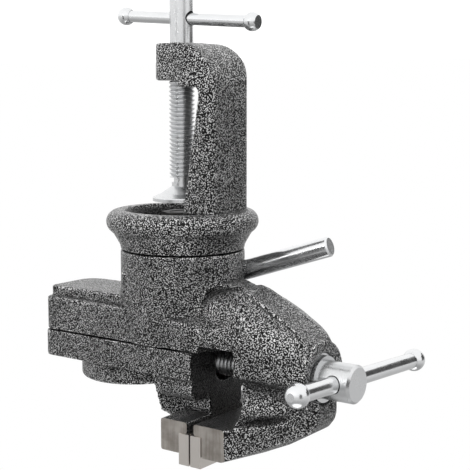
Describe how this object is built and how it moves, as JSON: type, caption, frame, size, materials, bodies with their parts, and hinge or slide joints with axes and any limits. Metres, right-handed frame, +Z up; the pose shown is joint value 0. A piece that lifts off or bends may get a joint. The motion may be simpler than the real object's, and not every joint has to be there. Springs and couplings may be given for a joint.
{
  "type": "swivel bench vise",
  "caption": "Clamp-on bench vise with a swivelling head, sliding rear jaw with round anvil, screw spindle with cross bar, and a C-frame clamp for a bench edge.",
  "frame": {"origin": "on the swivel axis, in the plane where the base ring sits on the bench top", "axes": "+Z up along the swivel axis towards the jaws, -Y towards the spindle handle, X along the jaws"},
  "size_m": [0.1142, 0.1622, 0.2119],
  "materials": {
    "cast_paint": "glossy hammered paint",
    "bright_zinc": "bright zinc plate",
    "chrome_bar": "polished",
    "ground_steel": "ground",
    "bronze": "machined"
  },
  "bodies": {
    "base": {"clamp_frame": "cast_paint", "swivel_bolt": "bright_zinc", "base_washer": "bright_zinc", "base_spring_washer": "bright_zinc", "base_nut": "bright_zinc"},
    "head": {"vise_body": "cast_paint", "swivel_washer": "bright_zinc", "front_jaw_plate": "ground_steel", "front_jaw_screws": "ground_steel"},
    "slide": {"slide_jaw": "cast_paint", "rear_jaw_plate": "ground_steel", "rear_jaw_screws": "ground_steel", "spindle_nut": "bronze", "nut_pin": "bright_zinc"},
    "spindle": {"spindle": "bright_zinc", "thrust_washer": "bright_zinc", "spindle_collar_washer": "bright_zinc", "spindle_clip": "bright_zinc"},
    "spindle_bar": {"spindle_bar": "chrome_bar", "spindle_bar_knobs": "chrome_bar"},
    "clamp_pad": {"clamp_pad": "bright_zinc"},
    "clamp_screw": {"clamp_screw": "bright_zinc"},
    "clamp_bar": {"clamp_bar": "chrome_bar", "clamp_bar_knobs": "chrome_bar"},
    "lock_cotter": {"lock_cotter": "bronze"},
    "lock_rod": {"lock_rod": "chrome_bar"}
  },
  "joints": [
    {"name": "head_swivel", "type": "hinge", "parent": "base", "child": "head", "pos_m": [0, 0, 0.0188], "axis": [0, 0, 1], "continuous": true},
    {"name": "slide_travel", "type": "slide", "parent": "head", "child": "slide", "axis": [0, 1, 0], "range_m": [-0.0007, 0.05]},
    {"name": "spindle_turn", "type": "hinge", "parent": "head", "child": "spindle", "pos_m": [0, -0.08, 0.0704], "axis": [0, 1, 0], "range_deg": [-9001, 127]},
    {"name": "spindle_bar_slide", "type": "slide", "parent": "spindle", "child": "spindle_bar", "axis": [0.9986, 0, -0.0523], "range_m": [-0.022, 0.055]},
    {"name": "clamp_travel", "type": "slide", "parent": "base", "child": "clamp_pad", "axis": [0, 0, 1], "range_m": [-0.044, 0.003]},
    {"name": "clamp_turn", "type": "hinge", "parent": "clamp_pad", "child": "clamp_screw", "pos_m": [0, 0, -0.04], "axis": [0, 0, 1], "range_deg": [-7921, 541]},
    {"name": "clamp_bar_slide", "type": "slide", "parent": "clamp_screw", "child": "clamp_bar", "axis": [-0.0696, -0.9954, 0.0663], "range_m": [-0.0275, 0.021]},
    {"name": "lock_travel", "type": "slide", "parent": "head", "child": "lock_cotter", "axis": [-0.1651, -0.9366, -0.309], "range_m": [0, 0.003]},
    {"name": "lock_turn", "type": "hinge", "parent": "lock_cotter", "child": "lock_rod", "pos_m": [-0.01132, 0.002, 0.0379], "axis": [-0.1651, -0.9366, -0.309], "range_deg": [-1, 721]}
  ],
  "couplings": [
    {"joint": "spindle_turn", "follows": "slide_travel", "rad_per_m": -3141.6},
    {"joint": "clamp_turn", "follows": "clamp_travel", "rad_per_m": 3141.6},
    {"joint": "lock_turn", "follows": "lock_travel", "rad_per_m": 4188.8}
  ]
}
